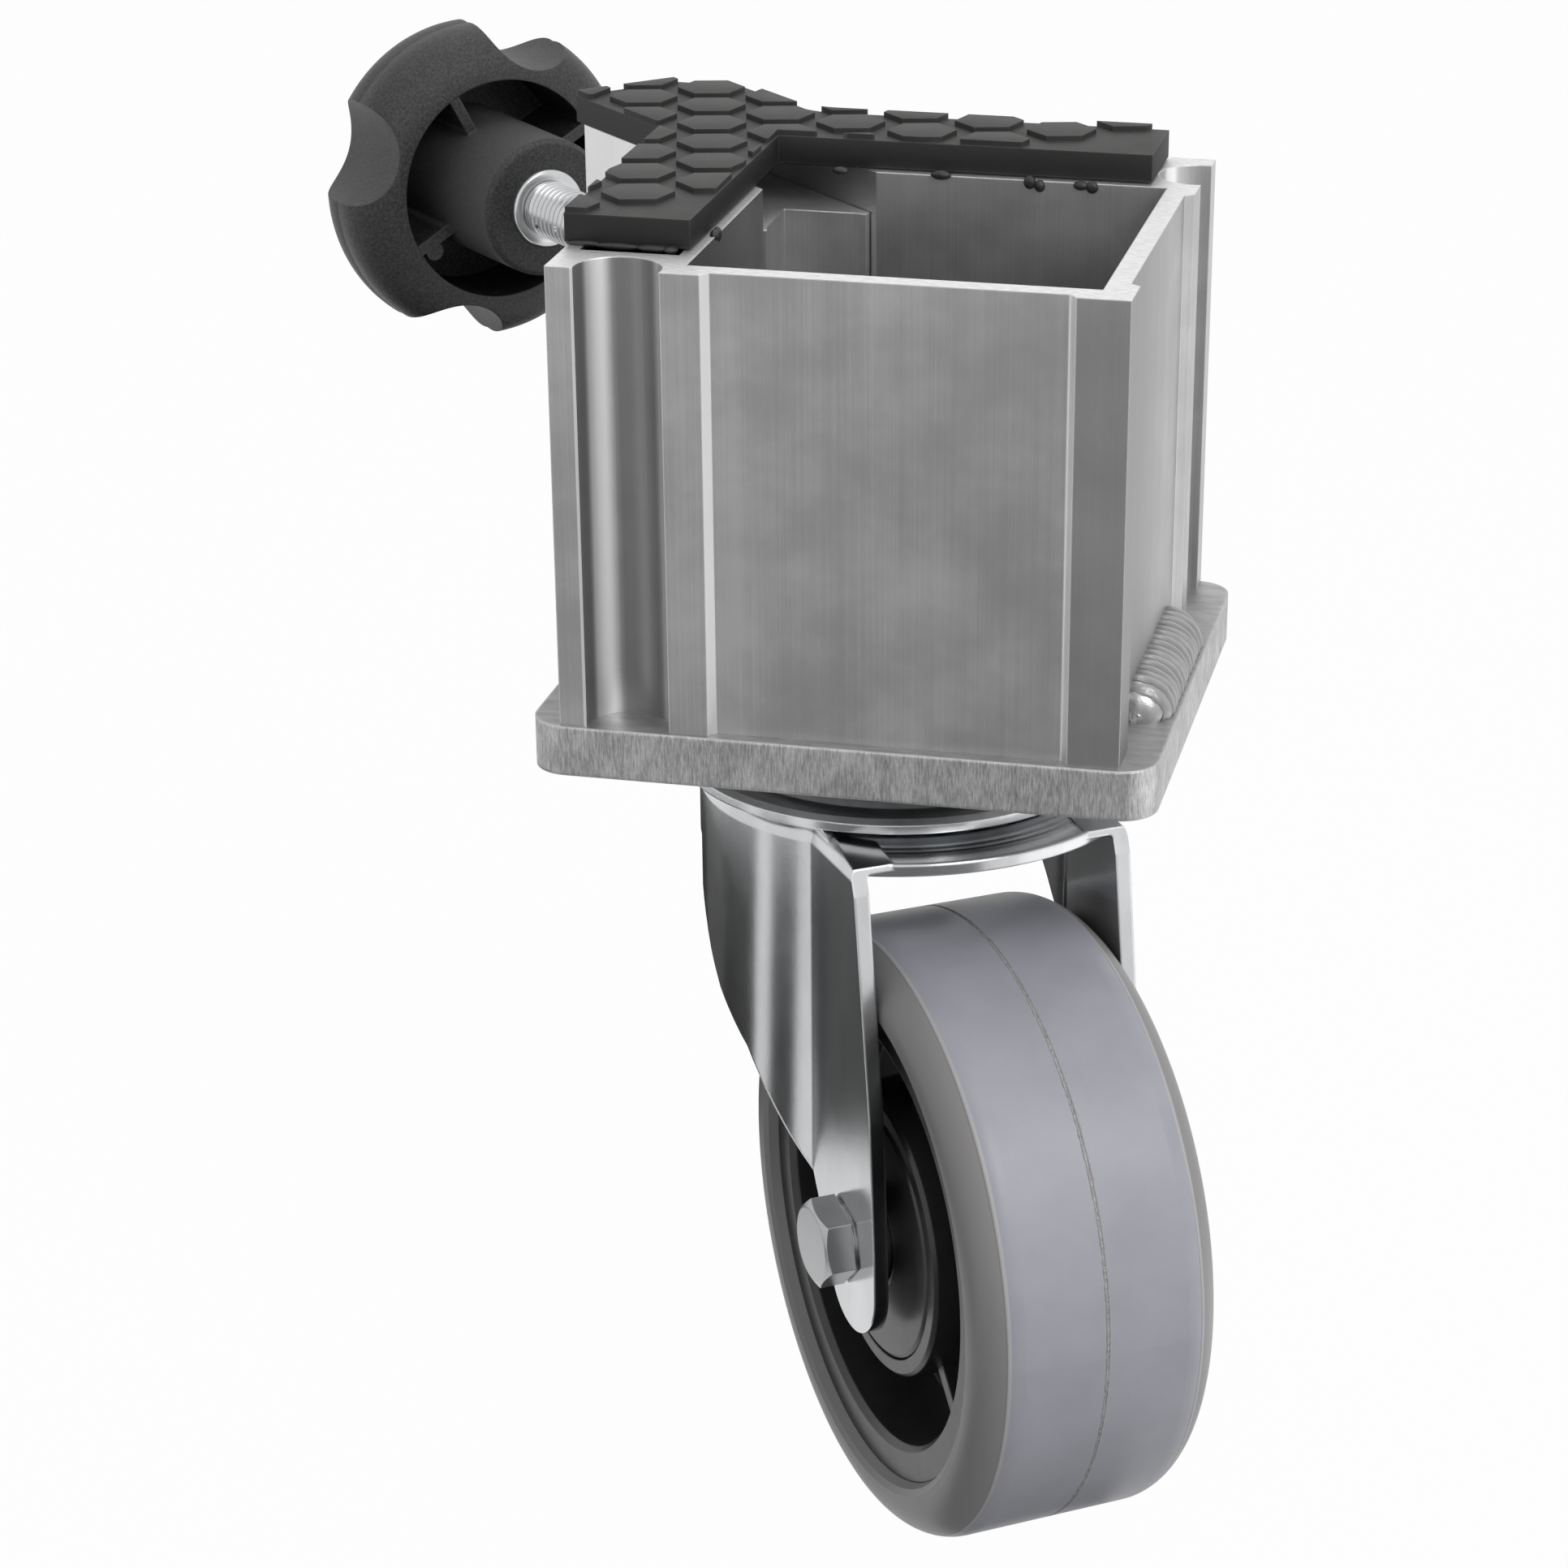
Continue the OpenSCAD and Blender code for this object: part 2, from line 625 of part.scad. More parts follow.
module lower_balls() {
  n = floor(2 * PI * low_track_r / (low_ball_d + 0.4));
  color("silver") swivel_frame() for (k = [0 : n - 1]) rotate([0, 0, k * 360 / n])
    translate([low_track_r, 0, low_ball_z]) sphere(r = low_ball_r, $fn = 24);
}

module axle_bolt() {
  color("silver") wheel_frame() {
    translate([0, 0, -leg_out]) mirror([0, 0, 1]) {
      cylinder(r = axle_af / 2 - 0.2, h = 0.4, $fn = 64);
      translate([0, 0, 0.4]) rotate([0, 0, 15]) hex_head(axle_af, 4.9);
    }
    translate([0, 0, -leg_out - 0.1]) cylinder(r = axle_r, h = fork_w + 9.6, $fn = 48);
  }
}

module axle_nut() {
  color("silver") wheel_frame() translate([0, 0, leg_out]) difference() {
    union() {
      hex_head(axle_af, 6.5, true);
      translate([0, 0, 6.5]) cylinder(r = axle_r + 1.6, h = 1.5, $fn = 48);
    }
    translate([0, 0, -1]) cylinder(r = axle_r + fit, h = 10, $fn = 48);
  }
}

module axle_tube() {
  color("silver") wheel_frame() difference() {
    translate([0, 0, -leg_in]) cylinder(r = tube_r, h = 2 * leg_in, $fn = 64);
    translate([0, 0, -leg_in - 1]) cylinder(r = axle_r + 0.1, h = 2 * leg_in + 2, $fn = 48);
  }
}

module ring(ro, ri, h) {
  difference() {
    cylinder(r = ro, h = h, $fn = 64);
    translate([0, 0, -1]) cylinder(r = ri, h = h + 2, $fn = 64);
  }
}

module axle_spacers() {
  color("silver") wheel_frame() {
    both() translate([0, 0, bearing_out]) ring(tube_r + 2, tube_r + 0.02, leg_in - bearing_out);
    translate([0, 0, -bearing_in]) ring(tube_r + 2, tube_r + 0.02, 2 * bearing_in);
  }
}

module bearing_ring(ro, ri) {
  translate([0, 0, bearing_in]) difference() {
    ring(ro, ri, bearing_w);
    translate([0, 0, bearing_w / 2]) rotate_extrude($fn = 64) translate([pitch_r, 0])
      circle(r = bb_r + fit, $fn = 24);
  }
}

module bearing_inner_rings() {
  color("silver") wheel_frame() both() bearing_ring(pitch_r - 0.75 * bb_r, tube_r + 0.02);
}

module bearing_outer_rings() {
  color("silver") wheel_frame() both() bearing_ring(brg_r, pitch_r + 0.75 * bb_r);
}

module bearing_balls() {
  color("silver") wheel_frame() both() for (k = [0 : bearing_n - 1]) rotate([0, 0, k * 360 / bearing_n])
    translate([pitch_r, 0, bearing_in + bearing_w / 2]) sphere(r = bb_r, $fn = 24);
}

module wheel_rim() {
  lip = rim_edge;
  b = brg_r + 0.02;
  color([0.1, 0.1, 0.1]) wheel_frame() {
    rotate_extrude($fn = 128) polygon([
      [b - 2, -bearing_in], [b, -bearing_in], [b, -hub_half + cap_seat],
        [hub_r - 2.8, -hub_half + cap_seat],
      [hub_r - 2.8, -hub_half], [hub_r - 0.6, -hub_half], [hub_r, -hub_half + 0.6],
      [hub_r + 0.8, -web_t / 2],
      [rim_r - lip - 1, -web_t / 2], [rim_r - lip, -rim_half + 1], [rim_r - lip + 1, -rim_half],
      [rim_r, -rim_half],
      [rim_r, rim_half], [rim_r - lip + 1, rim_half], [rim_r - lip, rim_half - 1],
      [rim_r - lip - 1, web_t / 2],
      [hub_r + 0.8, web_t / 2], [hub_r, hub_half - 0.6], [hub_r - 0.6, hub_half], [hub_r - 2.8, hub_half],
      [hub_r - 2.8, hub_half - cap_seat], [b, hub_half - cap_seat], [b, bearing_in],
      [b - 2, bearing_in]]);
    both() for (k = [0 : rib_n - 1]) rotate([0, 0, 45 + k * 360 / rib_n])
      translate([hub_r, -1.2, web_t / 2 - 0.5]) cube([rim_r - lip - hub_r, 2.4,
        hub_half - web_t / 2 - 3.5]);
  }
}

module tyre() {
  w = tyre_w / 2;
  r = wheel_r;
  s = shoulder_r;
  bore = rim_r + fit;
  color([0.6, 0.6, 0.63]) wheel_frame() rotate_extrude($fn = 160) difference() {
    union() {
      translate([bore, -w + s]) square([r - bore, 2 * (w - s)]);
      for (m = [-1, 1]) translate([r - s, m * (w - s)]) circle(r = s, $fn = 64);
      translate([bore, -w]) square([r - s - bore, 2 * w]);
    }
    translate([bore - 20, -w - 1]) square([20, 2 * w + 2]);
    for (m = [-1, 1]) polygon([[bore - 1, m * (rim_half + 0.1)], [bore, m * (rim_half + 0.1)],
      [bore + 0.7, m * (w - 0.5)],
      [bore + 1.8, m * w], [bore + 1.8, m * (w + 1)], [bore - 1, m * (w + 1)]]);
    translate([r, 0]) circle(r = 0.22, $fn = 16);
  }
}

module hub_caps() {
  color([0.1, 0.1, 0.1]) wheel_frame() both() rotate_extrude($fn = 96)
    polygon([[tube_r + 2.5, hub_half - cap_seat + 0.02], [hub_r - 3.1, hub_half - cap_seat + 0.02],
      [hub_r - 3.1, hub_half - 0.2], [hub_r - 3.7, hub_half + 0.2], [hub_r - 8, hub_half + 0.5],
      [tube_r + 3.4, hub_half + 0.9], [tube_r + 2.5, hub_half + 0.6]]);
}

housing_profile();
base_plate();
weld_beads();
rubber_pad();
glue_film();
centre_bolt();
plate_washer();
lock_nut();
upper_race_cup();
king_sleeve();
lower_race_cup();
clamp_jaw();
retaining_pin();
clamp_knob();
knob_stud();
fork();
axle_bolt();
axle_nut();
axle_tube();
axle_spacers();
upper_balls();
lower_balls();
bearing_inner_rings();
wheel_rim();
tyre();
hub_caps();
bearing_outer_rings();
bearing_balls();
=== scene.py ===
import math

import bmesh
import bpy
from mathutils import Matrix, Vector


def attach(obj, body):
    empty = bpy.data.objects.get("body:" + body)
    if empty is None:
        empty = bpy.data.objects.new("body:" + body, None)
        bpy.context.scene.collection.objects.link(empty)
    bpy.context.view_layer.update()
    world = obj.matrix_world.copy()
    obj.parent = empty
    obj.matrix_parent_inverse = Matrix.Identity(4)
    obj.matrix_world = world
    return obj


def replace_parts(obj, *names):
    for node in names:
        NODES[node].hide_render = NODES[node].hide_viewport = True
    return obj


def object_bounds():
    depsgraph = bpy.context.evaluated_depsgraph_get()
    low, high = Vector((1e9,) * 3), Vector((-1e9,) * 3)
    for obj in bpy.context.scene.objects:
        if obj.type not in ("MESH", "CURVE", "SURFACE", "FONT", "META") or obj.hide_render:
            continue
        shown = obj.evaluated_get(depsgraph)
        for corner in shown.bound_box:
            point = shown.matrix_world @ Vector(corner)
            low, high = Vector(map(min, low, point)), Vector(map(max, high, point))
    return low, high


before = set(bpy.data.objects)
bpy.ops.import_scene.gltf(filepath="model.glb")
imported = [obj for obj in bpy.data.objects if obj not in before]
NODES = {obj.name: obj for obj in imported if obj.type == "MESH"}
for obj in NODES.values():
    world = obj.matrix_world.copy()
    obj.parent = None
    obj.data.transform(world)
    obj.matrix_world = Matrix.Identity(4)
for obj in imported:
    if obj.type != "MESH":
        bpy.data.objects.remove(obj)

bl_info = {
    "name": "Swivel castor dressing",
    "version": (1, 0, 0),
    "blender": (4, 5, 0),
    "location": "3D View > Sidebar > Castor",
    "description": "Finishes and fine pieces for a clamp-on swivel castor",
    "category": "Object",
}

CAD_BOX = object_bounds()


def mm(value):
    """Millimetres in metres"""
    return value / 1000.0


# The clamp screw's axis: local z runs out along the clamp diagonal to the knob
SCREW_Z = 48.1
SCREW = (Matrix.Translation((0, 0, mm(SCREW_Z))) @ Matrix.Rotation(math.radians(135), 4, "Z")
         @ Matrix.Rotation(math.radians(90), 4, "Y"))
# Radius in mm that holds the knob's boss
BOSS_R = 13.5
# The axle's direction, and how far along it the wheel's middle plane lies, in mm
AXLE_WAY = (0.821149, 0.570714, 0.0)
AXLE_MIDDLE = 11.697 * AXLE_WAY[0] - 20.187 * AXLE_WAY[1]

# Distance in mm of the tyre's moulded crease from its middle
TYRE_CREASE = 16.4

# Painted highlight lines on the chamfered corners of the profile's front: place along X and half width in mm
CHAMFER_HIGHLIGHT_LINES = ((-47.1, 0.3), (26.9, 0.45))
# The flute in the profile's front: its sides along X, its mouth and floor along Y, in mm
FLUTE_LEFT, FLUTE_RIGHT, FLUTE_MOUTH, FLUTE_FLOOR = -47.2, -33.3, -35.7, -27.0
# Where the flange at the front's right end starts along X, in mm
FLANGE_LEFT = 27.0

# Squeezed glue: middle of each drop in mm, then its stretch along x, y and z
GLUE_DRIPS = (((-5.3, 30.4, 72.2), (1.5, 0.7, 0.7)), ((9.0, 30.8, 71.7), (0.9, 0.6, 1.0)),
              ((10.6, 30.8, 71.2), (0.8, 0.6, 0.9)), ((17.2, 30.8, 71.6), (1.1, 0.6, 0.7)),
              ((19.0, 30.8, 71.4), (0.9, 0.6, 0.9)), ((-21.4, 29.4, 72.3), (1.2, 0.8, 0.6)),
              ((-31.2, -11.6, 71.7), (0.6, 1.1, 1.1)), ((-31.2, -13.4, 72.0), (0.6, 0.9, 0.8)),
              ((-48.6, -23.3, 72.3), (2.6, 0.5, 0.45)), ((-43.5, -23.4, 72.2), (3.4, 0.6, 0.5)),
              ((-37.6, -23.5, 72.2), (2.8, 0.9, 0.55)), ((-35.2, -23.7, 72.2), (1.0, 1.2, 0.6)))

# Outline of the clamp screw under its thread: radius and place along the screw in mm
SCREW_CORE = ((0, 56.3), (3.4, 56.3), (4.0, 56.9), (4.0, 60.3), (2.9, 60.4), (2.9, 63.5), (4.0, 63.6),
              (4.0, 70.3), (4.2, 70.3), (4.95, 71.2), (4.95, 71.9), (4.1, 72.1), (4.0, 73.0), (4.0, 123.0),
              (4.9, 123.4), (4.9, 124.1), (6.6, 124.1), (7.0, 124.5), (7.0, 146.0), (0, 146.0))
# First and last place of the thread along the screw, and its crest's radius, in mm
THREAD_START, THREAD_END, THREAD_CREST = 71.4, 123.9, 5.0
# Faces in one turn of the thread
THREAD_STEPS = 48

# Sheets on the floor that only reflections show: name, first and last bearing in degrees,
# inner and outer radius in metres, brightness
CARDS = (("card_back", 96, 140, 0.05, 0.30, 0.03),
         ("card_back_left", 140, 168, 0.112, 0.30, 0.10),
         ("card_left_back", 168, 198, 0.112, 0.30, 0.045),
         ("card_left", 209, 227, 0.10, 0.30, 0.06),
         ("card_front_near", 242, 318, 0.06, 0.42, 0.22),
         ("card_front_far", 242, 318, 0.42, 1.2, 0.30),
         ("card_right", -25, 22, 0.1, 1.2, 1.5))
# Middle of the sheets, on the swivel's axis, in mm
CARDS_X, CARDS_Y = -7.65, 7.65


class CastorColours(bpy.types.PropertyGroup):
    """Base colours of the finishes, in linear light"""
    mill: bpy.props.FloatVectorProperty(name="Mill aluminium", description="Drawn aluminium of the housing",
                                        subtype="COLOR", size=3, min=0, max=1, default=(0.50, 0.50, 0.50))
    sanded: bpy.props.FloatVectorProperty(name="Sanded aluminium", description="Sanded edges of the base plate",
                                          subtype="COLOR", size=3, min=0, max=1, default=(0.50, 0.50, 0.50))
    zinc: bpy.props.FloatVectorProperty(name="Bright zinc", description="Plated steel of the fork and the bolts",
                                        subtype="COLOR", size=3, min=0, max=1, default=(0.60, 0.61, 0.62))
    pad: bpy.props.FloatVectorProperty(name="Pad rubber", description="Black rubber of the tread pad",
                                       subtype="COLOR", size=3, min=0, max=1, default=(0.032, 0.032, 0.031))
    knob: bpy.props.FloatVectorProperty(name="Knob plastic", description="Grained black plastic of the knob",
                                        subtype="COLOR", size=3, min=0, max=1, default=(0.02, 0.02, 0.02))
    rim: bpy.props.FloatVectorProperty(name="Rim plastic", description="Black plastic of the wheel's rim",
                                       subtype="COLOR", size=3, min=0, max=1, default=(0.028, 0.028, 0.028))
    tyre: bpy.props.FloatVectorProperty(name="Grey rubber", description="Grey rubber of the tyre",
                                        subtype="COLOR", size=3, min=0, max=1, default=(0.34, 0.345, 0.385))


class CastorFine(bpy.types.PropertyGroup):
    """Sizes of the pieces that are too fine for the solids"""
    thread_pitch: bpy.props.FloatProperty(name="Thread pitch", description="Pitch of the clamp screw's thread",
                                          subtype="DISTANCE", min=0.0005, max=0.003, default=0.0015)
    thread_depth: bpy.props.FloatProperty(name="Thread depth", description="Depth of the clamp screw's thread",
                                          subtype="DISTANCE", min=0.0002, max=0.0015, default=0.00092)
    pad_round: bpy.props.FloatProperty(name="Pad rounding", description="Rounding of the tread pad's moulded edges",
                                       subtype="DISTANCE", min=0.0001, max=0.0008, default=0.0004)
    drip: bpy.props.FloatProperty(name="Glue drip", description="Radius of a drip of squeezed glue",
                                  subtype="DISTANCE", min=0.0003, max=0.003, default=0.0011)


class CastorStage(bpy.types.PropertyGroup):
    """Light of the studio"""
    key: bpy.props.FloatProperty(name="Key light", description="Power of the large light on the right",
                                 subtype="POWER", min=0, max=100, default=3.2)
    fill: bpy.props.FloatProperty(name="Room light", description="Level of the light from the room",
                                  min=0, max=3, default=1.0)


class Level:
    """A value that varies over a surface; arithmetic on it adds Math nodes"""

    def __init__(self, sheet, socket):
        self.sheet = sheet
        self.socket = socket

    def maths(self, operation, a, b=None):
        values = {0: a} if b is None else {0: a, 1: b}
        return self.sheet.add("ShaderNodeMath", {"operation": operation}, values)

    def __add__(self, other): return self.maths("ADD", self, other)
    def __radd__(self, other): return self.maths("ADD", other, self)
    def __sub__(self, other): return self.maths("SUBTRACT", self, other)
    def __rsub__(self, other): return self.maths("SUBTRACT", other, self)
    def __mul__(self, other): return self.maths("MULTIPLY", self, other)
    def __rmul__(self, other): return self.maths("MULTIPLY", other, self)
    def __truediv__(self, other): return self.maths("DIVIDE", self, other)
    def __pow__(self, other): return self.maths("POWER", self, other)
    def high(self, other): return self.maths("MAXIMUM", self, other)
    def abs(self): return self.maths("ABSOLUTE", self)
    def fraction(self): return self.maths("FRACT", self)

    def step(self, start, end):
        """0 below start, 1 above end, smooth between"""
        return self.sheet.add("ShaderNodeMapRange", {"interpolation_type": "SMOOTHSTEP"},
                              {"Value": self, "From Min": start, "From Max": end})


class Finish:
    """A node material under construction"""

    def __init__(self, name, tree=None):
        if tree is None:
            self.material = bpy.data.materials.new(name)
            self.material.use_nodes = True
            tree = self.material.node_tree
        self.tree = tree
        tree.nodes.clear()

    def add(self, kind, settings=None, values=None, out=0):
        """One node: its settings, then the values or links of its sockets; gives the output asked for"""
        node = self.tree.nodes.new(kind)
        for key, value in (settings or {}).items():
            setattr(node, key, value)
        for key, value in (values or {}).items():
            socket = node.inputs[key]
            if isinstance(value, Level):
                self.tree.links.new(value.socket, socket)
            elif isinstance(value, (tuple, list)) and socket.type == "RGBA":
                socket.default_value = tuple(value)[:3] + (1,)
            else:
                socket.default_value = value
        return Level(self, node.outputs[out]) if len(node.outputs) else node

    def place(self, scale=(1, 1, 1), turn=(0, 0, 0)):
        """The surface's place in millimetres, stretched by scale"""
        at = self.add("ShaderNodeTexCoord", out="Object")
        return self.add("ShaderNodeMapping", {"vector_type": "POINT"},
                        {"Vector": at, "Rotation": turn, "Scale": tuple(1000.0 * s for s in scale)})

    def noise(self, scale=(1, 1, 1), turn=(0, 0, 0), detail=3.0, rough=0.55):
        """A soft random value from 0 to 1; scale counts its waves per millimetre"""
        return self.add("ShaderNodeTexNoise", {"noise_dimensions": "3D"},
                        {"Vector": self.place(scale, turn), "Scale": 1.0, "Detail": detail, "Roughness": rough})

    def axis(self, letter):
        """The surface's place along X, Y or Z in millimetres"""
        return self.add("ShaderNodeSeparateXYZ", None, {0: self.place()}, letter)

    def facing(self, letter):
        """How far the surface faces along X, Y or Z, from -1 to 1"""
        normal = self.add("ShaderNodeNewGeometry", out="Normal")
        return self.add("ShaderNodeSeparateXYZ", None, {0: normal}, letter)

    def blend(self, amount, a, b):
        """Colour a where amount is 0, b where it is 1"""
        node = self.tree.nodes.new("ShaderNodeMix")
        node.data_type = "RGBA"
        node.clamp_factor = True
        for index, value in ((0, amount), (6, a), (7, b)):
            socket = node.inputs[index]
            if isinstance(value, Level):
                self.tree.links.new(value.socket, socket)
            else:
                socket.default_value = tuple(value)[:3] + (1,) if index else value
        return Level(self, node.outputs[2])

    def edge(self, radius, start=0.004, end=0.10):
        """1 along edges that are rounded by the radius, 0 on flats"""
        soft = self.add("ShaderNodeBevel", {"samples": 6}, {"Radius": radius})
        flat = self.add("ShaderNodeNewGeometry", out="Normal")
        same = self.add("ShaderNodeVectorMath", {"operation": "DOT_PRODUCT"}, {0: soft, 1: flat}, "Value")
        return (1 - same).step(start, end)

    def relief(self, height, depth, edge=0.0):
        """A bump of the given depth in metres, over edges rounded by edge"""
        values = {"Height": height, "Strength": 1.0, "Distance": depth}
        if edge:
            values["Normal"] = self.add("ShaderNodeBevel", {"samples": 6}, {"Radius": edge})
        return self.add("ShaderNodeBump", None, values)

    def seen(self):
        """1 for the camera and for mirrored or refracted views of the room"""
        ways = [self.add("ShaderNodeLightPath", out="Is " + kind + " Ray")
                for kind in ("Camera", "Glossy", "Transmission")]
        return ways[0].high(ways[1]).high(ways[2])

    def surface(self, **values):
        """Closes the material with a Principled shader"""
        shader = self.add("ShaderNodeBsdfPrincipled", None,
                          {key.replace("_", " "): value for key, value in values.items()})
        self.add("ShaderNodeOutputMaterial", None, {"Surface": shader})
        return self.material


def tint(colour, factor):
    """The colour made lighter or darker"""
    return tuple(min(1.0, c * factor) for c in colour[:3])


def mill_finish(name, colour):
    """Drawn aluminium: soft lines along the profile, cloudy stains and brighter sawn ends, with painted highlights
    on its edges and chamfers and painted light and shade in its flute and on its right side
    """
    f = Finish(name)
    fine = f.noise((4.0, 4.0, 0.02), detail=3)
    band = f.noise((0.2, 0.2, 0.003), detail=2)
    cloud = f.noise((0.05, 0.05, 0.06), detail=5, rough=0.6)
    top = f.facing("Z").step(0.6, 0.9)
    saw = f.noise((0.5, 8.0, 1.0), (0, 0, math.radians(25)), detail=3)
    drawn = (fine * 0.22 + band * 0.2 + cloud * 0.58).step(0.36, 0.66)
    skin = f.blend(drawn, tint(colour, 0.82), tint(colour, 1.1))
    cut = f.blend(saw.step(0.35, 0.65), tint(colour, 1.15), tint(colour, 1.75))
    # Narrow chamfers, painted bright as a highlight
    lean = f.facing("X").abs()
    chamfer_highlight = lean.step(0.62, 0.74) * (1 - lean.step(0.86, 0.94)) * (0 - f.facing("Y")).step(0.2, 0.4)
    # The outer faces of the front wall
    front = (0 - f.facing("Y")).step(0.2, 0.4) * (0 - f.axis("Y")).step(30.0, 31.0)
    # Painted highlights along the edges, on the chamfers and on the listed lines
    painted_highlight = (f.edge(mm(0.35)) * 0.5).high(chamfer_highlight * 0.8)
    for place, half in CHAMFER_HIGHLIGHT_LINES:
        painted_highlight = painted_highlight.high((1 - (f.axis("X") - place).abs().step(half * 0.6, half)) * front * 0.85)
    turn = f.facing("X")
    # The flute: painted shade in its middle, painted highlights on both slopes
    flute = (f.axis("Y") - FLUTE_MOUTH).step(0.0, 0.4) * (0 - f.axis("Y")).step(-FLUTE_FLOOR, 0.8 - FLUTE_FLOOR)
    flute = flute * (0 - f.axis("X")).step(-FLUTE_RIGHT, 0.5 - FLUTE_RIGHT)
    flute = flute * (f.axis("X") - FLUTE_LEFT).step(0.0, 0.3)
    middle = (1 - turn.step(0.28, 0.5)) * (1 - (0 - turn).step(0.5, 0.75))
    skin = f.blend(flute * middle * 0.75, skin, tint(colour, 0.42))
    skin = f.blend(flute * turn.step(0.38, 0.6) * 0.9, skin, tint(colour, 1.95))
    skin = f.blend(flute * (0 - turn).step(0.55, 0.8) * 0.8, skin, tint(colour, 1.6))
    skin = f.blend(front * (f.axis("X") - FLANGE_LEFT).step(0.0, 1.0) * 0.7, skin, tint(colour, 0.6))
    # The right wall, painted darker towards the camera as painted shade
    near = f.facing("X").step(0.7, 0.9) * (1 - (f.axis("Y") + 34.0).step(12.0, 66.0))
    skin = f.blend(near * 0.85, skin, tint(colour, 0.46))
    # The painted highlights lighten the skin
    highlighted_skin = f.blend(painted_highlight, skin, tint(colour, 1.75))
    tone = f.blend(top, highlighted_skin, cut)
    rough = 0.36 + cloud * 0.1 + top * 0.08
    height = fine * (1 - top) + saw * top * 2.0
    return f.surface(Base_Color=tone, Metallic=0.95, Roughness=rough, Normal=f.relief(height, mm(0.012), mm(0.3)))


def sanded(name, colour):
    """Sheet edges dressed on a belt: short fine scratches across the edge and a brighter rim"""
    f = Finish(name)
    scratch = f.noise((4.5, 4.5, 0.5), detail=5, rough=0.75)
    patch = f.noise((0.4, 0.4, 0.2), detail=3)
    flat = f.facing("Z").abs().step(0.6, 0.9)
    wiped = f.noise((0.15, 0.4, 1.0), detail=5, rough=0.65)
    side = f.blend((scratch * 0.75 + patch * 0.25).step(0.33, 0.67), tint(colour, 0.55), tint(colour, 1.3))
    face = f.blend(wiped.step(0.3, 0.7), tint(colour, 0.7), tint(colour, 0.95))
    rim = f.edge(mm(0.8), 0.01, 0.25)
    tone = f.blend(rim * 0.5, f.blend(flat, side, face), tint(colour, 1.6))
    return f.surface(Base_Color=tone, Metallic=0.9, Roughness=0.38 + scratch * 0.2,
                     Normal=f.relief(scratch, mm(0.04), mm(0.8)))


def bright_zinc(name, colour, rough=0.2, edge=0.35):
    """Zinc plate over smooth pressed steel, faintly clouded, with wear making it bright at its edges"""
    f = Finish(name)
    cloud = f.noise((0.12, 0.12, 0.06), detail=4)
    speck = f.noise((2.5, 2.5, 2.5), detail=4, rough=0.7)
    tone = f.blend(cloud.step(0.3, 0.7), tint(colour, 0.92), tint(colour, 1.06))
    tone = f.blend(f.edge(mm(edge)) * 0.6, tone, tint(colour, 1.5))
    return f.surface(Base_Color=tone, Metallic=1.0, Roughness=rough - 0.04 + cloud * 0.06 + speck * 0.05,
                     Normal=f.relief(speck * 0.5 + cloud * 0.5, mm(0.012), mm(edge)))


def weld_metal(name, colour):
    """Bright weld bead with the crescent ripples of its passes"""
    f = Finish(name)
    cloud = f.noise((0.5, 0.5, 0.5), detail=3)
    side = (f.axis("Z") - 2.0) ** 2.0
    ripple = ((f.axis("Y") + side * 0.07 + cloud * 0.8) / 2.3).fraction()
    crest = ripple.step(0.0, 0.75) * (1 - ripple.step(0.8, 1.0))
    tone = f.blend(crest * 0.6 + cloud * 0.4, tint(colour, 0.42), tint(colour, 0.85))
    return f.surface(Base_Color=tone, Metallic=0.95, Roughness=0.34 - crest * 0.08, Normal=f.relief(crest, mm(0.22)))


def pad_rubber(name, colour):
    """Matt moulded rubber: painted light with grey dust on its faces, painted highlights on its block edges, and
    painted shade down its walls
    """
    f = Finish(name)
    grain = f.noise((4.0, 4.0, 4.0), detail=5, rough=0.7)
    dust = f.noise((0.2, 0.2, 0.2), detail=4)
    # Painted light on upward faces, partly grey dust there; the walls get painted shade
    up = f.facing("Z").step(0.1, 0.95)
    lit = up * 0.7 + dust.step(0.3, 0.8) * 0.3 * up
    tone = f.blend(lit, tint(colour, 0.22), tint(colour, 1.6))
    # Painted highlights along the block edges
    tone = f.blend(f.edge(mm(0.45), 0.01, 0.2) * 0.5, tone, tint(colour, 3.2))
    return f.surface(Base_Color=tone, Roughness=0.55 + grain * 0.2, Specular_IOR_Level=0.45,
                     Normal=f.relief(grain * 0.6 + dust * 0.6, mm(0.07)))


def glue(name):
    """Squeezed black glue"""
    f = Finish(name)
    lump = f.noise((1.0, 1.0, 1.0), detail=3)
    return f.surface(Base_Color=f.blend(lump, (0.012, 0.012, 0.012), (0.04, 0.04, 0.04)),
                     Roughness=0.3 + lump * 0.3, Normal=f.relief(lump, mm(0.2)))


def grained_plastic(name, colour):
    """Spark-grained black plastic with a faint sheen, painted highlights along its edges and painted light on its
    boss
    """
    f = Finish(name)
    grain = f.noise((2.2, 2.2, 2.2), detail=4, rough=0.75)
    wear = f.noise((0.1, 0.1, 0.1), detail=3)
    tone = f.blend(grain.step(0.4, 0.64), tint(colour, 0.25), tint(colour, 2.2))
    # Squared distance from the screw's axis
    radius = ((f.axis("X") + f.axis("Y")) ** 2.0) * 0.5 + (f.axis("Z") - SCREW_Z) ** 2.0
    along = (f.facing("Y") - f.facing("X")).abs().step(0.3, 0.8)
    # Painted light on the boss's barrel
    boss_painted_light = (1 - radius.step(BOSS_R ** 2, BOSS_R ** 2 + 20.0)) * (1 - along)
    tone = f.blend(boss_painted_light * (0.35 + grain * 0.5), tone, tint(colour, 5.0))
    # Painted highlights along the edges
    tone = f.blend(f.edge(mm(1.1), 0.02, 0.4) * 0.4, tone, tint(colour, 4.5))
    return f.surface(Base_Color=tone, Roughness=0.36 + wear * 0.14, Specular_IOR_Level=0.5,
                     Normal=f.relief(grain, mm(0.16), mm(0.5)))


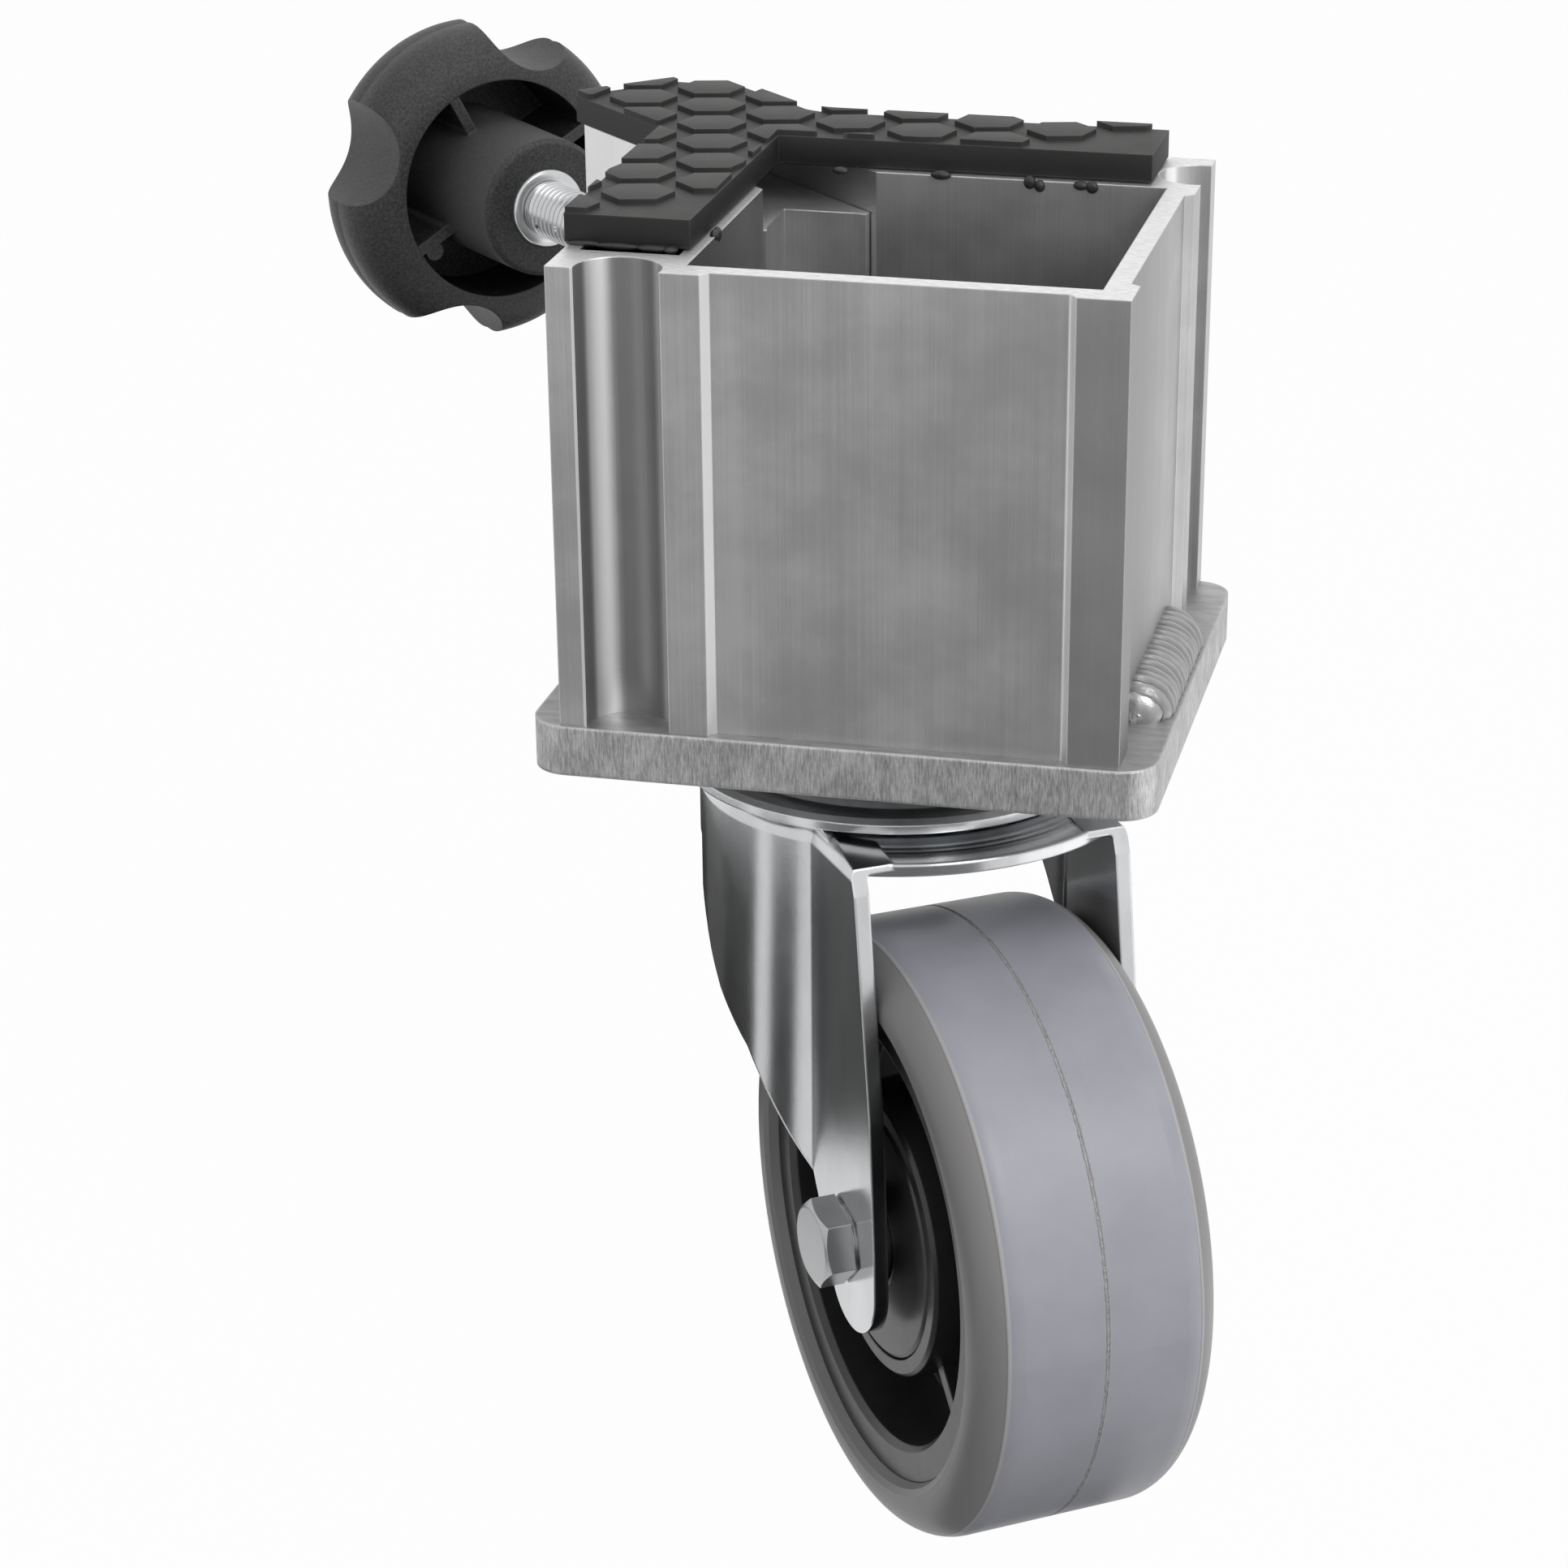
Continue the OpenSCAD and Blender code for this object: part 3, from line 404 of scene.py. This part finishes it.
def rim_plastic(name, colour):
    """Smooth black plastic of the rim and hub caps"""
    f = Finish(name)
    flow = f.noise((0.3, 0.3, 0.3), detail=3)
    grain = f.noise((5.0, 5.0, 5.0), detail=2)
    tone = f.blend(flow, tint(colour, 0.75), tint(colour, 1.3))
    return f.surface(Base_Color=tone, Roughness=0.24 + flow * 0.12, Specular_IOR_Level=0.5,
                     Normal=f.relief(grain, mm(0.015), mm(0.4)))


def grey_rubber(name, colour):
    """Smooth moulded tyre rubber with faint flow marks, a paler line where the mould halves met, painted shade on
    its sides and a painted highlight along its shoulder line
    """
    f = Finish(name)
    flow = f.noise((0.1, 0.1, 0.1), detail=4)
    grain = f.noise((4.0, 4.0, 4.0), detail=3)
    tone = f.blend((flow * 0.8 + grain * 0.2).step(0.25, 0.75), tint(colour, 0.94), tint(colour, 1.05))
    across = f.add("ShaderNodeVectorMath", {"operation": "DOT_PRODUCT"}, {0: f.place(), 1: AXLE_WAY}, "Value")
    off = (across - AXLE_MIDDLE + (f.noise((0.6, 0.6, 0.6), detail=3) - 0.5) * 0.5).abs()
    ragged = f.noise((0.9, 0.9, 0.9), detail=4, rough=0.7).step(0.35, 0.6)
    line = (1 - off.step(0.12, 0.42)) * (0.45 + ragged * 0.55)
    side = (across - AXLE_MIDDLE).abs()
    # Painted shade, tinted browner, on both sides beyond the shoulder line
    painted_wall_shade = side.step(TYRE_CREASE - 0.2, TYRE_CREASE + 0.5)
    # A painted highlight along the shoulder line
    crease_highlight = 1 - (side - TYRE_CREASE).abs().step(0.1, 0.45)
    tone = f.blend(painted_wall_shade, tone, (colour[0] * 0.72, colour[1] * 0.69, colour[2] * 0.62))
    tone = f.blend((line * 0.75).high(crease_highlight * 0.45), tone, (colour[0] * 1.5, colour[1] * 1.42, colour[2] * 1.2))
    return f.surface(Base_Color=tone, Roughness=0.34 + flow * 0.1 + line * 0.2, Specular_IOR_Level=0.5,
                     Normal=f.relief(grain * 0.02 + flow * 0.02 + line + crease_highlight * 0.5, mm(0.3)))


def ground_steel(name):
    """Finely turned bright steel of the bearings and the pin"""
    f = Finish(name)
    turned = f.noise((2.0, 2.0, 2.0), detail=3)
    return f.surface(Base_Color=f.blend(turned, (0.45, 0.45, 0.46), (0.62, 0.62, 0.63)), Metallic=1.0,
                     Roughness=0.16 + turned * 0.14, Normal=f.relief(turned, mm(0.01)))


def coat(material, *names):
    """Gives CAD nodes a finish through their material slots"""
    for name in names:
        node = NODES[name]
        if not node.material_slots:
            node.data.materials.append(material)
        for s in node.material_slots:
            s.material = material


def piece(name, bm, material, body, smooth_angle=35.0):
    """Turns a finished bmesh into a piece that rides on a body"""
    bmesh.ops.remove_doubles(bm, verts=bm.verts, dist=1e-7)
    bmesh.ops.recalc_face_normals(bm, faces=bm.faces)
    mesh = bpy.data.meshes.new(name)
    for face in bm.faces:
        face.smooth = True
    bm.to_mesh(mesh)
    bm.free()
    mesh.set_sharp_from_angle(angle=math.radians(smooth_angle))
    obj = bpy.data.objects.new(name, mesh)
    bpy.context.scene.collection.objects.link(obj)
    mesh.materials.append(material)
    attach(obj, body)
    return obj


def lathe(bm, profile, steps=96):
    """Spins a line of (radius, height) points about local z"""
    verts = [bm.verts.new((r, 0, z)) for r, z in profile]
    edges = [bm.edges.new(pair) for pair in zip(verts, verts[1:])]
    bmesh.ops.spin(bm, geom=verts + edges, cent=(0, 0, 0), axis=(0, 0, 1), angle=2 * math.pi, steps=steps,
                   use_merge=True)


class CASTOR_OT_housing(bpy.types.Operator):
    """Drawn, sanded and welded aluminium of the housing"""
    bl_idname = "castor.housing"
    bl_label = "Housing finishes"

    def execute(self, context):
        c = context.scene.castor_colours
        coat(mill_finish("mill_aluminium", c.mill), "housing_profile")
        # The jaw's coat is painted 1.35 times lighter than the housing's: painted light
        coat(mill_finish("sawn_aluminium", tint(c.mill, 1.35)), "clamp_jaw")
        coat(sanded("sanded_aluminium", c.sanded), "base_plate")
        coat(weld_metal("weld_metal", c.mill), "weld_beads")
        return {"FINISHED"}


class CASTOR_OT_pad(bpy.types.Operator):
    """Rubber pad, its glue line and the drips under its edges"""
    bl_idname = "castor.pad"
    bl_label = "Pad and glue"

    def execute(self, context):
        fine = context.scene.castor_fine
        rubber = pad_rubber("pad_rubber", context.scene.castor_colours.pad)
        coat(rubber, "rubber_pad")
        bm = bmesh.new()
        bm.from_mesh(NODES["rubber_pad"].data)
        bmesh.ops.remove_doubles(bm, verts=bm.verts, dist=1e-6)
        bmesh.ops.dissolve_limit(bm, angle_limit=math.radians(1.5), verts=bm.verts, edges=bm.edges)
        corners = [e for e in bm.edges if len(e.link_faces) == 2 and e.calc_face_angle() > math.radians(28)
                   and min(v.co.z for v in e.verts) > CAD_BOX[1][2] - mm(9)]
        bmesh.ops.bevel(bm, geom=corners, offset=fine.pad_round, offset_type="OFFSET", affect="EDGES", segments=2,
                        profile=0.5, material=-1, clamp_overlap=True)
        bmesh.ops.triangulate(bm, faces=[f for f in bm.faces if len(f.verts) > 4])
        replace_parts(piece("pad_moulding", bm, rubber, "housing", 60), "rubber_pad")

        black = glue("black_glue")
        coat(black, "glue_film")
        bm = bmesh.new()
        for place, size in GLUE_DRIPS:
            drop = bmesh.ops.create_icosphere(bm, subdivisions=3, radius=fine.drip)["verts"]
            bmesh.ops.scale(bm, verts=drop, vec=size)
            bmesh.ops.translate(bm, verts=drop, vec=[mm(v) for v in place])
        piece("glue_drips", bm, black, "housing")
        return {"FINISHED"}


class CASTOR_OT_clamp(bpy.types.Operator):
    """Knob and the clamp screw with its cut thread"""
    bl_idname = "castor.clamp"
    bl_label = "Knob and screw"

    def execute(self, context):
        c = context.scene.castor_colours
        fine = context.scene.castor_fine
        coat(grained_plastic("knob_plastic", c.knob), "clamp_knob")
        coat(ground_steel("pin_steel"), "retaining_pin")
        zinc = bright_zinc("screw_zinc", c.zinc, 0.22, 0.1)
        coat(zinc, "knob_stud")
        pitch, depth = fine.thread_pitch, fine.thread_depth
        start, end, crest = mm(THREAD_START), mm(THREAD_END), mm(THREAD_CREST)
        turns = int((end - start) / pitch)
        bm = bmesh.new()
        profile = [(crest, 0.0), (crest, pitch * 0.14), (crest - depth, pitch * 0.50),
                   (crest - depth, pitch * 0.64), (crest, pitch)]
        verts = [bm.verts.new((r, 0, start + z)) for r, z in profile]
        edges = [bm.edges.new(pair) for pair in zip(verts, verts[1:])]
        bmesh.ops.spin(bm, geom=verts + edges, cent=(0, 0, 0), axis=(0, 0, 1), angle=2 * math.pi * turns,
                       dvec=(0, 0, pitch / THREAD_STEPS), steps=THREAD_STEPS * turns, use_merge=False)
        lathe(bm, [(mm(r), mm(z)) for r, z in SCREW_CORE], 64)
        bm.transform(SCREW)
        obj = piece("stud_thread", bm, zinc, "knob", 60)
        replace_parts(obj, "knob_stud")
        return {"FINISHED"}


class CASTOR_OT_head(bpy.types.Operator):
    """Swivel head, fork and their bolts in bright zinc"""
    bl_idname = "castor.head"
    bl_label = "Swivel head and fork"

    def execute(self, context):
        c = context.scene.castor_colours
        coat(bright_zinc("fork_zinc", c.zinc, 0.17, 0.5), "fork")
        coat(bright_zinc("cup_zinc", c.zinc, 0.15, 0.3), "upper_race_cup", "lower_race_cup", "king_sleeve")
        coat(bright_zinc("bolt_zinc", tint(c.zinc, 0.7), 0.3, 0.25), "centre_bolt", "plate_washer", "lock_nut",
             "axle_bolt", "axle_nut", "axle_spacers", "axle_tube")
        coat(ground_steel("bearing_steel"), "upper_balls", "lower_balls", "bearing_inner_rings",
             "bearing_outer_rings", "bearing_balls")
        return {"FINISHED"}


class CASTOR_OT_wheel(bpy.types.Operator):
    """Tyre, rim and hub caps"""
    bl_idname = "castor.wheel"
    bl_label = "Wheel"

    def execute(self, context):
        c = context.scene.castor_colours
        coat(grey_rubber("grey_rubber", c.tyre), "tyre")
        coat(rim_plastic("rim_plastic", c.rim), "wheel_rim", "hub_caps")
        return {"FINISHED"}


class CASTOR_OT_stage(bpy.types.Operator):
    """Floor, room light, lamps and the camera"""
    bl_idname = "castor.stage"
    bl_label = "Stage"

    def execute(self, context):
        scene = context.scene
        stage = scene.castor_stage
        scene.view_settings.view_transform = "Standard"

        camera = bpy.data.objects.new("camera", bpy.data.cameras.new("camera"))
        scene.collection.objects.link(camera)
        camera.location = (0.1182527, -0.5850602, 0.2245227)
        camera.rotation_euler = (1.1407716, -0.0042757, 0.2051689)
        camera.data.sensor_width = 36.0
        camera.data.lens = 91.5983
        camera.data.shift_x = -0.0848994
        camera.data.shift_y = 0.1060619
        camera.data.clip_start, camera.data.clip_end = 0.05, 20
        scene.camera = camera

        bm = bmesh.new()
        bmesh.ops.create_grid(bm, x_segments=1, y_segments=1, size=3.0)
        bmesh.ops.translate(bm, verts=bm.verts, vec=(0, 0, CAD_BOX[0][2] - 0.0002))
        mesh = bpy.data.meshes.new("floor")
        bm.to_mesh(mesh)
        bm.free()
        floor = bpy.data.objects.new("floor", mesh)
        scene.collection.objects.link(floor)
        f = Finish("floor")
        mesh.materials.append(f.material)
        body = f.add("ShaderNodeBsdfDiffuse", None, {"Color": (0.45, 0.45, 0.45)})
        glow = f.add("ShaderNodeEmission", None, {"Color": (1, 1, 1), "Strength": 1.0})
        mixed = f.add("ShaderNodeMixShader", None, {0: f.seen() * 0.98, 1: body, 2: glow})
        f.add("ShaderNodeOutputMaterial", None, {"Surface": mixed})

        def card(name, start, end, inner, outer, level):
            """A sheet laid on the floor between two bearings round the swivel, seen only as a reflection"""
            sheet = bmesh.new()
            ends = [sheet.verts.new((r, 0, 0)) for r in (inner, outer)]
            line = sheet.edges.new(ends)
            turn = math.radians(end - start)
            bmesh.ops.spin(sheet, geom=ends + [line], cent=(0, 0, 0), axis=(0, 0, 1), angle=turn, steps=16)
            centre = Matrix.Translation((mm(CARDS_X), mm(CARDS_Y), CAD_BOX[0][2] + 0.001))
            sheet.transform(centre @ Matrix.Rotation(math.radians(start), 4, "Z"))
            data = bpy.data.meshes.new(name)
            sheet.to_mesh(data)
            sheet.free()
            obj = bpy.data.objects.new(name, data)
            scene.collection.objects.link(obj)
            obj.visible_camera = obj.visible_diffuse = obj.visible_shadow = False
            tone = Finish(name)
            data.materials.append(tone.material)
            glow = tone.add("ShaderNodeEmission", None, {"Color": (1, 1, 1), "Strength": level})
            tone.add("ShaderNodeOutputMaterial", None, {"Surface": glow})

        for values in CARDS:
            card(*values)

        world = bpy.data.worlds.new("room")
        scene.world = world
        world.use_nodes = True
        w = Finish("room", world.node_tree)
        ray = w.add("ShaderNodeTexCoord", out="Generated")
        x = w.add("ShaderNodeSeparateXYZ", None, {0: ray}, "X")
        y = w.add("ShaderNodeSeparateXYZ", None, {0: ray}, "Y")
        z = w.add("ShaderNodeSeparateXYZ", None, {0: ray}, "Z")
        level = 0.16 + x.step(-0.2, 0.9) * 0.75 + z.step(0.35, 0.95) * 0.18 + (0 - y).step(0.2, 0.95) * 0.35
        seen = w.seen()
        strength = level * stage.fill * (1 - seen) + seen
        glow = w.add("ShaderNodeBackground", None, {"Color": (1, 1, 1), "Strength": strength})
        w.add("ShaderNodeOutputWorld", None, {"Surface": glow})

        def lamp(name, place, aim, size, power):
            data = bpy.data.lights.new(name, "AREA")
            data.shape = "RECTANGLE"
            data.size, data.size_y = size
            data.energy = power
            obj = bpy.data.objects.new(name, data)
            scene.collection.objects.link(obj)
            obj.location = place
            obj.rotation_euler = (Vector(aim) - Vector(place)).to_track_quat("-Z", "Y").to_euler()

        lamp("key", (0.55, -0.5, 0.6), (0, 0, -0.02), (0.45, 0.45), stage.key)
        lamp("top", (-0.1, 0.25, 0.75), (0, 0, 0), (0.5, 0.5), stage.key * 0.3)
        return {"FINISHED"}


OPERATORS = (CASTOR_OT_housing, CASTOR_OT_pad, CASTOR_OT_clamp, CASTOR_OT_head, CASTOR_OT_wheel, CASTOR_OT_stage)


class CASTOR_PT_panel(bpy.types.Panel):
    """Lists the castor's pieces"""
    bl_idname = "CASTOR_PT_panel"
    bl_label = "Castor"
    bl_space_type = "VIEW_3D"
    bl_region_type = "UI"
    bl_category = "Castor"

    def draw(self, context):
        column = self.layout.column()
        for operator in OPERATORS:
            column.operator(operator.bl_idname)


CLASSES = (CastorColours, CastorFine, CastorStage) + OPERATORS + (CASTOR_PT_panel,)
GROUPS = {"castor_colours": CastorColours, "castor_fine": CastorFine, "castor_stage": CastorStage}


def register():
    for cls in CLASSES:
        bpy.utils.register_class(cls)
    for name, group in GROUPS.items():
        setattr(bpy.types.Scene, name, bpy.props.PointerProperty(type=group))


def unregister():
    for name in GROUPS:
        delattr(bpy.types.Scene, name)
    for cls in reversed(CLASSES):
        bpy.utils.unregister_class(cls)


def main():
    register()
    for operator in OPERATORS:
        group, call = operator.bl_idname.split(".")
        getattr(getattr(bpy.ops, group), call)()


if __name__ == "__main__":
    main()
